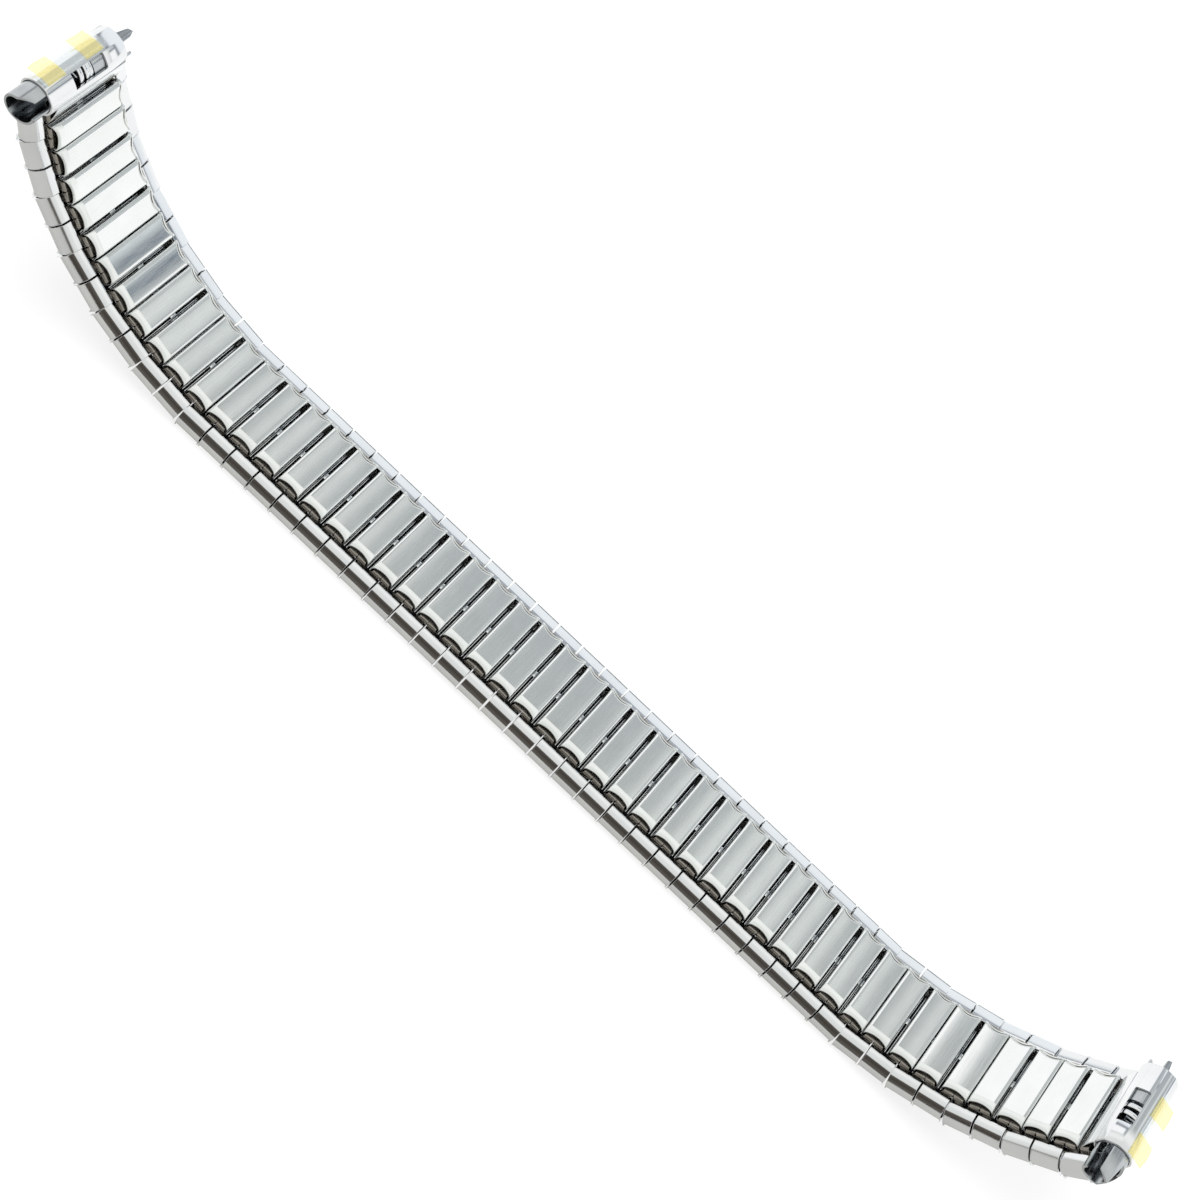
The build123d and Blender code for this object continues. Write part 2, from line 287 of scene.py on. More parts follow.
# Stainless steel, buffed: still a mirror, a little softer, with faint rubs along each link
buffedSteel = steel("buffedStainless", {
    "dark": "#e6e8e7", "light": "#f4f6f5", "cloudSize": 4.0,
    "markSize": (0.1, 2.4, 0.1), "roughness": (0.1, 0.2), "markStrength": 0.06, "markDepth": 0.01,
})
# Spring strip, rolled and hardened: a brown-grey skin, half bright
springSteel = steel("rolledSpringSteel", {
    "dark": "#8d8880", "light": "#bab5ad", "cloudSize": 1.2,
    "markSize": (0.5, 0.5, 0.08), "roughness": (0.3, 0.48), "markStrength": 0.15, "markDepth": 0.01,
})
# Stainless sheet inside the links, dull, and painted dark: a painted shade for the shadowed insides of the
# links
paintedShadeSteel = steel("millStainless", {
    "dark": "#2c2b2b", "light": "#474645", "cloudSize": 1.0,
    "markSize": (0.12, 0.8, 0.12), "roughness": (0.4, 0.6), "markStrength": 0.2, "markDepth": 0.02,
})
# Drawn stainless tube, lightly polished: grey, with draw lines along it
tubeSteel = steel("drawnStainless", {
    "dark": "#a9adb0", "light": "#c9cccf", "cloudSize": 2.0,
    "markSize": (0.08, 1.6, 0.08), "roughness": (0.12, 0.26), "markStrength": 0.12, "markDepth": 0.01,
})


# Thin plastic film: mostly see-through, a little milky, glossy, tinted by its colour
def plasticFilm(name, look):
    material, tree, shader = newMaterial(name)
    place = addNode(tree, "TexCoord")
    creases = addNode(tree, "TexNoise", None,
                      {"Scale": 1 / (look["creaseSize"] * mm), "Detail": 2.0,
                       "Vector": place.outputs["Object"]})
    bump = addNode(tree, "Bump", None,
                   {"Strength": 0.3, "Distance": look["creaseDepth"] * mm,
                    "Height": creases.outputs["Fac"]})
    shades = dict(zip("AB", map(linear, look["milk"])))
    body = addNode(tree, "Mix", {"data_type": "RGBA"}, {"Factor": creases.outputs["Fac"], **shades})
    tree.links.new(body.outputs["Result"], shader.inputs["Base Color"])
    tree.links.new(bump.outputs[0], shader.inputs["Normal"])
    shader.inputs["Roughness"].default_value = 0.22
    clear = addNode(tree, "BsdfTransparent", None, {"Color": linear(look["tint"])})
    mix = addNode(tree, "MixShader", None,
                  {0: look["cover"], 1: clear.outputs[0], 2: shader.outputs[0]})
    tree.links.new(mix.outputs[0], tree.nodes["Material Output"].inputs["Surface"])
    return material


# Clear film: hardly seen but for its soft gloss
clearFilm = plasticFilm("clearFilm", {
    "milk": ("#f4f8fa", "#ffffff"), "tint": "#fdfefe", "cover": 0.08, "creaseSize": 0.7, "creaseDepth": 0.03,
})
# The same film, printed with a bare field of pale yellow
yellowFilm = plasticFilm("paleYellowFilm", {
    "milk": ("#f8f2c8", "#fdfade"), "tint": "#fdf9e0", "cover": 0.16, "creaseSize": 0.5, "creaseDepth": 0.03,
})
print("metals and film made")


# link frames, from the joints: the middle link lies still, odd joints flex, even ones slide

joints = {joint["name"]: joint for joint in frame["joints"]}


def turned(x, z, angle):
    c, s = cos(radians(angle)), sin(radians(angle))
    return Vector((x * c - z * s, x * s + z * c))


def bendOf(name):
    return -joints[name]["range_deg"][0]


def hingePlace(name):
    x, _, z = joints[name]["pos_m"]
    return Vector((x, z)) / mm


low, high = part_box("middle_cap")
acrossMiddle = (low.y + high.y) / 2
here, there = band["legOffset"], band["pitch"] - band["legOffset"]
places = {band["middleLink"]: (Vector(((low.x + high.x) / 2, low.z)) / mm, 0.0)}
for number in range(band["middleLink"], band["links"]):
    spot, angle = places[number]
    if number % 2:
        name = f"flex_{number:02d}"
        angle = angle + bendOf(name)
        places[number + 1] = (hingePlace(name) - turned(-here, band["flexHeight"], angle), angle)
    else:
        places[number + 1] = (spot + turned(band["pitch"], 0, angle), angle)
for number in reversed(range(1, band["middleLink"])):
    spot, angle = places[number + 1]
    if number % 2:
        name = f"flex_{number:02d}"
        angle = angle - bendOf(name)
        places[number] = (hingePlace(name) - turned(there, band["flexHeight"], angle), angle)
    else:
        places[number] = (spot - turned(band["pitch"], 0, angle), angle)


def endPlace(name, link, side):
    angle = places[link][1] + side * bendOf(name)
    return hingePlace(name) - turned(side * here, band["flexHeight"], angle), angle


endPlaces = {"start": endPlace("start_hinge", 1, -1), "finish": endPlace("finish_hinge", band["links"], 1)}


def poseAt(spot, angle, turnedRound=False):
    move = Matrix.Translation((spot.x * mm, acrossMiddle, spot.y * mm))
    turn = Matrix.Rotation(radians(180 if turnedRound else 0), 4, "Z")
    return move @ Matrix.Rotation(radians(-angle), 4, "Y") @ turn


def put(name, mesh, matrix, body, node):
    piece = addObject(name, mesh)
    piece.matrix_world = matrix
    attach(piece, body)
    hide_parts(node)


# cap: thin polished shell, folded round the outer link

cap = {
    # Length and height of the outline that its sheet lies round: the sheet's thickness comes on top
    "length": 14.0, "width": 3.38, "height": 2.1, "sheet": 0.3,
    # The folded edge, from its tip outwards: its lean there in degrees, then lengths and the leans they reach
    "nearLean": 3.0, "nearFold": [(0.85, 15.0), (0.06, 40.0), (0.75, 58.0), (0.1, 66.0), (0.3, 84.0)],
    "farLean": 1.0, "farFold": [(0.35, 2.5), (0.1, 7.0), (1.15, 18.0), (0.3, 84.0)],
    "foldSteps": 6,  # in each of those lengths
    "tipDrop": 0.02,  # of the folded edge's tip below the full height
    "faceRadius": 0.75, "faceSteps": 10, "facePoints": (0.6, 0.3, 0),  # shares of half the length
    "edgeRound": 0.28,  # how far the sheet's inside falls away towards its two edges
    "edgeReach": 1.6, "edgeSteps": 5,  # how far in from the edge that starts, as a share of it
    "faceRound": 0.35, "cornerRound": 0.9,  # share of it on the outward face, and what the corners add
    "nickSpacing": 1.15, "nickPlace": 5.7, "nickRadius": 0.13, "nickRise": 0.6,  # share of the radius
    "nickSink": 0.05,  # of its middle below the full height
}


# One folded edge as a line of (y, z) from its tip outwards, leaning more and more until it stands upright
def foldPath(lean, fold):
    y, z = 0.0, cap["height"] - cap["tipDrop"]
    points = [(y, z)]
    count = cap["foldSteps"]
    for length, reached in fold:
        for n in range(count):
            middle = radians(lean + (reached - lean) * (n + 0.5) / count)
            y += length / count * cos(middle)
            z -= length / count * sin(middle)
            points.append((y, z))
        lean = reached
    outwards = cap["length"] / 2 - y
    return [(y + outwards, z) for y, z in points]


def capMesh():
    side, face = cap["length"] / 2, cap["faceRadius"]
    halves = []
    for lean, fold in ((cap["farLean"], cap["farFold"]), (cap["nearLean"], cap["nearFold"])):
        half = foldPath(lean, fold) + arc((side - face, face), face, 0, -90, cap["faceSteps"])
        halves.append(half + [(side * share, 0) for share in cap["facePoints"]])
    path = halves[0] + [(-y, z) for y, z in reversed(halves[1][:-1])]
    reach, fall, steps = cap["width"] / 2, cap["edgeRound"], cap["edgeSteps"]
    stations = []
    for n in range(steps + 1):
        a = radians(90 * n / steps)
        place = -reach + cap["edgeReach"] * fall * (1 - cos(a))
        stations.append((place, fall * (1 - sin(a))))
    stations += [(-x, inset) for x, inset in reversed(stations)]
    # run this way round, the outline has the sheet's thickness outside
    shares = cap["faceRound"], cap["cornerRound"]
    return sheetMesh("cap", path[::-1], cap["sheet"], stations, alongX, *shares)


# The small round dots that fix the folded edge, one pair a side
def nickMesh():
    work = bmesh.new()
    for side in (-1, 1):
        for end in (-0.5, 0.5):
            place = (end * cap["nickSpacing"], side * cap["nickPlace"], cap["height"] - cap["nickSink"])
            spot = Matrix.Translation(Vector(place) * mm)
            flat = Matrix.Diagonal((1, 1, cap["nickRise"], 1))
            bmesh.ops.create_uvsphere(work, u_segments=12, v_segments=6, radius=cap["nickRadius"] * mm,
                                      matrix=spot @ flat)
    mesh = bpy.data.meshes.new("nicks")
    work.to_mesh(mesh)
    work.free()
    mesh.shade_smooth()
    return mesh


# outer sleeve: flattened tube inside the cap, its seam towards the wrist

outerSleeve = {
    # Width and heights inside its walls: their thickness comes on top
    "length": 10.1, "width": 3.2, "sheet": 0.12, "corner": 0.3, "floor": 0.21, "roof": 2.05,
    "notch": 0.2,  # the roof is open over this length at the far end
    "roofSink": 0.01,  # of the roof's top below its height
    "lipPlace": 0.17, "lipRadius": 0.065, "lipRise": 0.05,  # the rolled lips of the seam
    "lipEnd": 0.14, "lipStop": 1.25,  # what they stop short at the near and the far end
    "tabLength": 0.8, "tabWidth": 0.24,  # the small tongue that locks the seam, in the middle
    "tabSink": 0.06, "tabRise": 0.05,  # its underside and top against the roof
}


def outerSleeveMesh():
    wall, floor, roof = outerSleeve["width"] / 2, outerSleeve["floor"], outerSleeve["roof"]
    corner, lip = outerSleeve["corner"], outerSleeve["lipPlace"]
    walls = arc((wall - corner, roof - corner), corner, 60, 0, 4)
    walls += arc((wall - corner, floor + corner), corner, 0, -90, 5)
    trough = walls + [(-x, z) for x, z in reversed(walls)]
    half = outerSleeve["length"] / 2
    # this outline too has the thickness outside
    parts = [sheetMesh("outerShell", trough[::-1], outerSleeve["sheet"], [(-half, 0), (half, 0)], alongY)]
    under, top = roof - outerSleeve["sheet"], roof - outerSleeve["roofSink"]
    for side in (-1, 1):
        inner, outer = sorted((side * lip, side * (wall - corner / 2)))
        plate = [(inner, under), (outer, under), (outer, top), (inner, top)]
        parts.append(prismMesh("roofPlate", plate, -half, half - outerSleeve["notch"], alongY))
    return joined("outerSleeve", parts)


# The two rolled lips along the seam
def lipMesh():
    half, height = outerSleeve["length"] / 2, outerSleeve["roof"] + outerSleeve["lipRise"]
    near, far = -half + outerSleeve["lipEnd"], half - outerSleeve["lipStop"]
    lips = []
    for side in (-1, 1):
        bead = arc((side * outerSleeve["lipPlace"], height), outerSleeve["lipRadius"], 0, 360, 12)[:-1]
        lips.append(prismMesh("lip", bead, near, far, alongY))
    return joined("lips", lips)


def tabMesh():
    wide, long = outerSleeve["tabWidth"] / 2, outerSleeve["tabLength"] / 2
    low = outerSleeve["roof"] - outerSleeve["tabSink"]
    high = outerSleeve["roof"] + outerSleeve["tabRise"]
    outline = [(-wide, low), (wide, low), (wide, high), (-wide, high)]
    return prismMesh("tab", outline, -long, long, alongY)


# inner sleeve: the flat-faced link of the wrist side; its face is cut in an arc and bent down at both ends

innerSleeve = {
    # Width and height inside its walls: their thickness comes on top
    "length": 10.1, "width": 2.8, "height": 1.3, "sheet": 0.15,
    "crown": 0.018,  # how much higher the middle of its face stands than the sides
    "corner": 0.3, "footCorner": 0.12,
    "seam": 0.02,  # half the gap in its underside
    "faceSteps": 8,  # in each half of its face
    "bendFrom": 0.3,  # height inside it from which the bent ends of its face begin to show
    "nearRecess": 0.3, "farRecess": 0.46,  # how far the middle of each end is cut back
    "nearBand": 1.1,  # the bent strip at the near end, measured at its corners
    "bandSlope": 9.0,  # how far it bends down, in degrees
    "bandBend": 0.07,  # how short the bend is
    "bandPast": 0.1,  # how far past the strip the cut at its end runs out
    # The far end, from its edge inwards: place and fall of the face, with a pressed groove along the edge
    "farFalls": [(0, 0.15), (0.05, 0.06), (0.23, 0.01), (0.34, 0.16), (0.4, 0.16), (0.46, 0.0), (0.56, 0.0)],
    # Degrees that a loose one sits askew, by the number of its link
    "slants": {6: 0.7, 8: -0.6, 13: 0.5, 15: -0.4, 18: 0.5, 37: -0.5, 41: 0.6, 43: 1.8, 47: -0.8},
}


# The fall of the face towards the near end, for a point this far inside the end's edge
def bandDrop(inside, strip, slope):
    beyond = strip - inside
    soft = innerSleeve["bandBend"]
    if beyond <= 0:
        return 0.0
    if beyond < soft:
        return tan(radians(slope)) * beyond ** 2 / (2 * soft)
    return tan(radians(slope)) * (beyond - soft / 2)


def innerSleeveMesh():
    wall, floor = innerSleeve["width"] / 2, band["innerFloor"]
    top = floor + innerSleeve["height"] - innerSleeve["crown"]
    corner, turn = innerSleeve["corner"], innerSleeve["footCorner"]
    flat, inFoot = wall - corner, wall - turn
    face = []
    for n in range(2 * innerSleeve["faceSteps"] + 1):
        share = 1 - n / innerSleeve["faceSteps"]
        face.append((flat * share, top + innerSleeve["crown"] * (1 - share ** 2)))
    foot = [(innerSleeve["seam"], floor), (inFoot, floor)] + arc((inFoot, floor + turn), turn, -90, 0, 4)
    rightSide = foot[:-1] + [(wall, floor + turn)] + arc((flat, top - corner), corner, 0, 90, 8)[:-1]
    # this outline too has the thickness outside
    path = rightSide + face + [(-x, z) for x, z in reversed(rightSide)]
    half = innerSleeve["length"] / 2
    # Places inside each end, from its edge: close together round the bend
    nearBand, soft = innerSleeve["nearBand"], innerSleeve["bandBend"]
    past = nearBand + innerSleeve["bandPast"]
    nearSteps = [0, nearBand / 2, nearBand - soft, nearBand - soft / 2, nearBand, past]
    falls = dict(innerSleeve["farFalls"])
    rows = [(-1, step) for step in nearSteps] + [(1, step) for step in reversed(falls)]
    normals = pathNormals(path)
    bendFrom = innerSleeve["bendFrom"]
    verts = []
    for end, step in rows:
        recess = innerSleeve["nearRecess" if end < 0 else "farRecess"]
        for depth in (0, innerSleeve["sheet"]):
            for (x, z), normal in zip(path, normals):
                raised = max(0.0, min(1.0, (z - floor - bendFrom) / (top - floor - bendFrom)))
                cutBack = recess * raised * max(0.0, 1 - (x / wall) ** 2)
                if end < 0:
                    # the near bend is straight, so the strip is narrower in the middle
                    share = 1 - step / past
                    place = -half + step + cutBack * max(0.0, share)
                    drop = bandDrop(place + half, nearBand, innerSleeve["bandSlope"])
                else:
                    place = half - step - cutBack
                    drop = falls[step]
                verts.append((x - normal.x * depth, place, z - normal.y * depth - drop * raised))
    mesh = meshFrom("innerSleeve", verts, sheetFaces(len(rows), len(path)))
    mesh.transform(Matrix.Translation((band["pitch"] / 2 * mm, 0, 0)))
    return mesh


# bows and leaf springs

bow = {
    "width": 0.92, "upperWidth": 1.18, "strip": 0.2, "bend": 0.3,
    "legLength": 2.5, "crownInside": 5.06, "upperHeight": 2.82,
    "upperOffset": 0.64,  # of its upper leg from the middle of the inner sleeve
    "paintedShadeHeight": 2.1,  # height below which its crown is painted dark, a painted shade in the gap beside the cap's folded edge
    "paintedShadeSlack": 0.02,  # so that no face right at that height is left dark
}


# One bow, at the near or the far end, and leaning to the one or the other neighbour
def bowMesh(side, fold):
    bottom, top = band["flexHeight"], bow["upperHeight"]
    crown, half = bow["crownInside"] + bow["strip"], bow["strip"] / 2
    tip, bend = crown - bow["legLength"], bow["bend"]
    outline = [(tip, bottom - half)] + arc((crown - bend, bottom - half + bend), bend, -90, 0, 5)
    outline.append((crown, bow["paintedShadeHeight"]))
    outline += arc((crown - bend, top + half - bend), bend, 0, 90, 5) + [(tip, top + half), (tip, top - half)]
    outline += [(crown - 2 * half, top - half), (crown - 2 * half, bottom + half), (tip, bottom + half)]
    lower, upper = band["legOffset"], band["pitch"] / 2 - bow["upperOffset"]
    verts = []
    for edge in (-0.5, 0.5):
        for y, z in outline:
            share = (z - bottom) / (top - bottom)
            width = bow["width"] + (bow["upperWidth"] - bow["width"]) * share
            x = lower + (upper - lower) * share + edge * width
            verts.append((band["pitch"] - x if fold else x, side * y, z))
    return meshFrom("bow", verts, prismFaces(len(outline)))


# A finished bow: spring steel above, painted dark below, as painted shade where it lies in the gap beside the
# cap
def bowPiece(side, fold):
    piece = rounded(bowMesh(side, fold), 0.04, springSteel, 2)
    piece.materials.append(paintedShadeSteel)
    line = (bow["paintedShadeHeight"] - bow["paintedShadeSlack"]) * mm
    for face in piece.polygons:
        face.material_index = 1 if face.center.z < line else 0
    return piece


leaf = {
    "strip": 0.14, "length": 9.3, "steps": 10,
    # Height of its underside in the middle, and of its top at the tips
    "outerWidth": 2.2, "outerHeights": (0.36, 1.11),
    "innerWidth": 1.8, "innerHeights": (3.1, 2.61),
}


def leafMesh(low, high, width, x):
    tip, strip, steps = leaf["length"] / 2, leaf["strip"], leaf["steps"]
    lower = []
    for n in range(steps + 1):
        share = -1 + 2 * n / steps
        lower.append((tip * share, low + (high - strip - low) * share ** 2))
    outline = lower + [(y, z + strip) for y, z in reversed(lower)]
    return prismMesh("leaf", outline, x - width / 2, x + width / 2, alongX)


capWhole = joined("cap", [
    rounded(capMesh(), 0.03, polishedSteel, 2),
    rounded(nickMesh(), 0.01, polishedSteel, 1, 80),
])
# The outer sleeve's shell takes the dark steel: painted shade inside the link
outerWhole = joined("outerSleeve", [
    rounded(outerSleeveMesh(), 0.02, paintedShadeSteel, 2),
    rounded(lipMesh(), 0.01, polishedSteel, 1, 50),
    rounded(tabMesh(), 0.03, buffedSteel, 2),
])
innerWhole = rounded(innerSleeveMesh(), 0.03, buffedSteel, 2, 50)
bowPair = [bowPiece(side, False) for side in (-1, 1)]
bowsOfLink = joined("bows", bowPair + [bowPiece(side, True) for side in (-1, 1)])
bowsOfEnd = joined("endBows", bowPair)
# Both leaves take the dark steel: painted shade inside the link
outerLeaf = rounded(leafMesh(*leaf["outerHeights"], leaf["outerWidth"], 0), 0.03, paintedShadeSteel, 2)
innerLeaf = rounded(leafMesh(*leaf["innerHeights"], leaf["innerWidth"], band["pitch"] / 2), 0.03, paintedShadeSteel, 2)
print("link meshes made")


# A link's pieces share its node, but each of the middle link's has its own
def nodeOf(number, kind):
    return f"middle_{kind}" if number == band["middleLink"] else f"link_{number:02d}"


def askew(matrix, number):
    middle = (band["pitch"] / 2, 0, band["innerFloor"] + innerSleeve["height"] / 2)
    heart = Matrix.Translation(Vector(middle) * mm)
    turn = Matrix.Rotation(radians(-innerSleeve["slants"].get(number, 0.0)), 4, "Y")
    return matrix @ heart @ turn @ heart.inverted()


for number, (spot, angle) in places.items():
    matrix = poseAt(spot, angle)
    pieces = [
        ("cap", capWhole, matrix, "cap", "polished_steel"),
        ("outerSleeve", outerWhole, matrix, "outer_sleeve", "satin_steel"),
        ("outerLeaf", outerLeaf, matrix, "leaf_springs", "spring_steel"),
    ]
    if number < band["links"]:
        pieces += [
            ("innerSleeve", innerWhole, askew(matrix, number), "inner_sleeve", "satin_steel"),
            ("innerLeaf", innerLeaf, matrix, "leaf_springs", "spring_steel"),
            ("bows", bowsOfLink, matrix, "bows", "spring_steel"),
        ]
    for name, mesh, at, kind, finish in pieces:
        put(f"{name}_{number:02d}", mesh, at, f"link_{number:02d}", nodeOf(number, kind))
print("links placed")


# end fitting: tongue and sheath rolled from one sheet

fitting = {
    "sheathLength": 11.1, "shift": 0.65,  # its middle from the link's, along the band's width
    "bore": 1.95, "sheet": 0.3, "axisX": 4.34, "axisZ": 2.1,  # bore is a radius
    "edgeLength": 0.08, "edgeTrim": 0.05,  # the eased edges at its two ends
    # Soft flats left by the rolling tool: how flat, how far turned, and how much round is left between
    "facets": 8, "facetShare": 0.4, "facetTurn": 6, "roundShare": 0.99,
    "windowLength": 4.6, "windowShift": -0.35,
    "windowFrom": 36.0, "windowTo": 88.0,  # degrees from the outward side
    "noseX": 0.375, "noseRise": 0.62, "noseCut": 0.12, "noseCutInside": 0.1,
    "tongueWidth": 10.1, "tongueSheet": 0.16,
    "tongueArch": 0.14, "archSteps": 8,
    "rollAngle": 120.0,  # where the tongue leaves the sheath
}


def sheathMesh():
    outer, bore = fitting["bore"] + fitting["sheet"], fitting["bore"]
    steps, facet = 96, 360 / fitting["facets"]
    half, window = fitting["sheathLength"] / 2, fitting["windowLength"] / 2
    middle = fitting["windowShift"]
    edge = fitting["edgeLength"]
    stations = [-half, -half + edge, middle - window, middle + window, half - edge, half]
    verts, faces = [], []
    for place in stations:
        trim = fitting["edgeTrim"] if abs(place) == half else 0
        for inside in (False, True):
            for n in range(steps):
                degrees = 360 * n / steps
                a = radians(degrees)
                if inside:
                    radius = bore
                else:
                    off = (degrees + fitting["facetTurn"]) % facet - facet / 2
                    flat = outer * cos(radians(facet / 2)) / cos(radians(off))
                    eased = outer + fitting["facetShare"] * (flat - outer)
                    radius = min(outer * fitting["roundShare"], eased) - trim
                spot = (fitting["axisX"] + radius * cos(a), fitting["axisZ"] + radius * sin(a))
                verts.append((spot[0], place + fitting["shift"], spot[1]))
    first, last = round(fitting["windowFrom"] / 360 * steps), round(fitting["windowTo"] / 360 * steps)
    row = 2 * steps
    windowStation = 2
    for station in range(len(stations) - 1):
        a = station * row
        b = a + row
        for n in range(steps):
            m = (n + 1) % steps
            if station == windowStation and first <= n < last:
                continue
            faces.append((a + n, a + m, b + m, b + n))
            faces.append((a + steps + n, b + steps + n, b + steps + m, a + steps + m))
    a = windowStation * row
    b = a + row
    for n in (first, last):
        faces.append((a + n, b + n, b + steps + n, a + steps + n))
    for base in (a, b):
        for n in range(first, last):
            faces.append((base + n, base + n + 1, base + steps + n + 1, base + steps + n))
    for base in (0, (len(stations) - 1) * row):
        for n in range(steps):
            m = (n + 1) % steps
            faces.append((base + n, base + m, base + steps + m, base + steps + n))
    return meshFrom("sheath", verts, faces)


def tongueMesh():
    roll = radians(fitting["rollAngle"])
    outer = fitting["bore"] + fitting["sheet"]
    rollX, rollZ = fitting["axisX"] + outer * cos(roll), fitting["axisZ"] + outer * sin(roll)
    nose, floor = fitting["noseX"], band["innerFloor"]
    rise, sheet = floor + fitting["noseRise"], fitting["tongueSheet"]
    cut, steps = fitting["noseCut"], fitting["archSteps"]
    ramp = []
    for n in range(1, steps):
        share = n / steps
        arch = fitting["tongueArch"] * sin(pi * share)
        ramp.append((rollX + (nose + cut - rollX) * share, rollZ + (rise - rollZ) * share + arch))
    outline = [(nose, floor), (rollX, floor), (rollX, rollZ)] + ramp
    outline += [(nose + cut, rise), (nose, rise - cut)]
    opening = [(nose + sheet, floor + sheet), (rollX, floor + sheet), (rollX, rollZ - 2 * sheet)]
    opening += [(x, z - sheet) for x, z in ramp]
    opening.append((nose + sheet + fitting["noseCutInside"], rise - sheet))
    half = fitting["tongueWidth"] / 2
    verts = [(x, y, z) for y in (-half, half) for x, z in outline + opening]
    size = len(outline) + len(opening)
    faces = []
    for loop in (range(0, len(outline)), range(len(outline), size)):
        loop = list(loop)
        for n, a in enumerate(loop):
            b = loop[(n + 1) % len(loop)]
            faces.append((a, b, b + size, a + size))
    for base in (0, size):
        o = [base + n for n in range(len(outline))]
        i = [base + len(outline) + n for n in range(len(opening))]
        faces += [(o[n], o[n + 1], i[n + 1], i[n]) for n in range(len(i) - 1)]
        faces.append((o[-2], o[-1], o[0], i[0], i[-1]))
    return meshFrom("tongue", verts, faces)


# sliders: slit tubes with pointed lips, and the coil between them

slider = {
    "radius": 1.9, "bore": 1.6, "length": 6.4,  # bore is a radius too
    "edgeLength": 0.08, "edgeTrim": 0.04,  # the eased edge of its tip
    "steps": 124,  # round the tube
    "slot": (50.0, 100.0),  # in degrees from the outward side towards the wrist side
    "overlap": 1,  # degrees by which the wall that closes the slot runs into the tube
    "slotLength": {"startNear": 2.9, "startFar": 2.2, "finishNear": 4.6, "finishFar": 1.6},  # from the tip
    "reaches": {"start": (1.9, 2.7), "finish": (4.5, 1.3)},  # out of the sheath, at its -Y end and its +Y end
}
# How far each tube's end is cut back, round the tube from the slot's far edge to its near edge
tipCuts = {
    "startNear": [(100, 0.5), (180, 0.3), (270, 0.1), (360, 0.0), (410, 1.1)],
    "startFar": [
        (100, 2.2), (118, 2.2), (126, 0.5), (138, 0.4), (146, 2.2),
        (250, 2.4), (370, 2.2), (384, 0.3), (400, 0.0), (410, 0.7),
    ],
    "finishNear": [
        (100, 1.1), (180, 1.4), (230, 1.4), (290, 2.9), (312, 3.0), (345, 3.5), (368, 0.3), (410, 1.3),
    ],
    "finishFar": [
        (100, 0.8), (112, 0.3), (124, 1.7), (250, 2.0), (385, 1.7), (392, 0.0), (407, 0.1), (410, 0.9),
    ],
}


# The cut at one angle, between the named ones
def tipCut(cuts, degrees):
    for (a, here), (b, there) in zip(cuts, cuts[1:]):
        if a <= degrees <= b:
            return here + (there - here) * (degrees - a) / (b - a)
    return cuts[-1][1]


# A tube whose inner end is at zero and whose cut tip points along +Y or -Y
def sliderMesh(name, direction):
    steps, overlap = slider["steps"], slider["overlap"]
    near, far = slider["slot"]
    centre = fitting["axisX"], fitting["axisZ"]
    verts, faces = [], []
    for n in range(steps + 1):
        degrees = far + (360 - far + near) * n / steps
        tip = slider["length"] - tipCut(tipCuts[name], degrees)
        a = radians(degrees)
        for radius in (slider["radius"], slider["bore"]):
            for y in (0, tip - slider["edgeLength"], tip):
                eased = y == tip and radius == slider["radius"]
                size = radius - (slider["edgeTrim"] if eased else 0)
                verts.append((centre[0] + size * cos(a), direction * y, centre[1] + size * sin(a)))
    for n in range(steps):
        a, b = n * 6, (n + 1) * 6
        for ring in (0, 3):
            for k in range(2):
                faces.append((a + ring + k, a + ring + k + 1, b + ring + k + 1, b + ring + k))
        faces.append((a, b, b + 3, a + 3))
        faces.append((a + 2, a + 5, b + 5, b + 2))
    for base in (0, steps * 6):
        faces += [(base, base + 1, base + 4, base + 3), (base + 1, base + 2, base + 5, base + 4)]
    tube = meshFrom(name, verts, faces)
    wall = arc(centre, slider["radius"], near - overlap, far + overlap, 12)
    wall += arc(centre, slider["bore"], far + overlap, near - overlap, 12)
    closed = sorted((0, direction * (slider["length"] - slider["slotLength"][name])))
    return joined(name, [tube, prismMesh(name + "Closed", wall, *closed, alongY)])


coil = {
    "turns": 3, "turnSteps": 48, "startAngle": 20.0,
    "bandWidth": 0.55, "bandThick": 0.14, "bandCrown": 0.05, "radius": 1.84,
    # Where its halves meet. No slider passes it, but half of the band's width lies on either side.
    "middles": {"start": 0.65, "finish": 0.15},
}


# Half of a coil of flat wire, from one place along Y to another
def coilMesh(name, low, middle, high, half):
    steps = round(coil["turns"] * coil["turnSteps"] / 2)
    first, last = low + coil["bandWidth"] / 2, high - coil["bandWidth"] / 2
    thick, crown = coil["bandThick"], coil["bandCrown"]
    section = ((0, -0.5), (crown, 0), (0, 0.5), (-thick, 0.5), (-thick, -0.5))
    verts, faces = [], []
    for n in range(steps + 1):
        share = n / steps + half
        a = radians(coil["startAngle"] + 180 * coil["turns"] * share)
        y = middle + (last - middle) * (share - 1) if half else first + (middle - first) * share
        for height, edge in section:
            size = coil["radius"] + height
            x, z = fitting["axisX"] + size * cos(a), fitting["axisZ"] + size * sin(a)
            verts.append((x, y + edge * coil["bandWidth"], z))
    for n in range(steps):
        a, b = n * 5, (n + 1) * 5
        for k in range(5):
            m = (k + 1) % 5
            faces.append((a + k, a + m, b + m, b + k))
    faces += [tuple(range(5)), tuple(range(steps * 5, steps * 5 + 5))]
    return meshFrom(name, verts, faces)


# film: a loose strip of clear film on each sheath, with two bare yellow fields

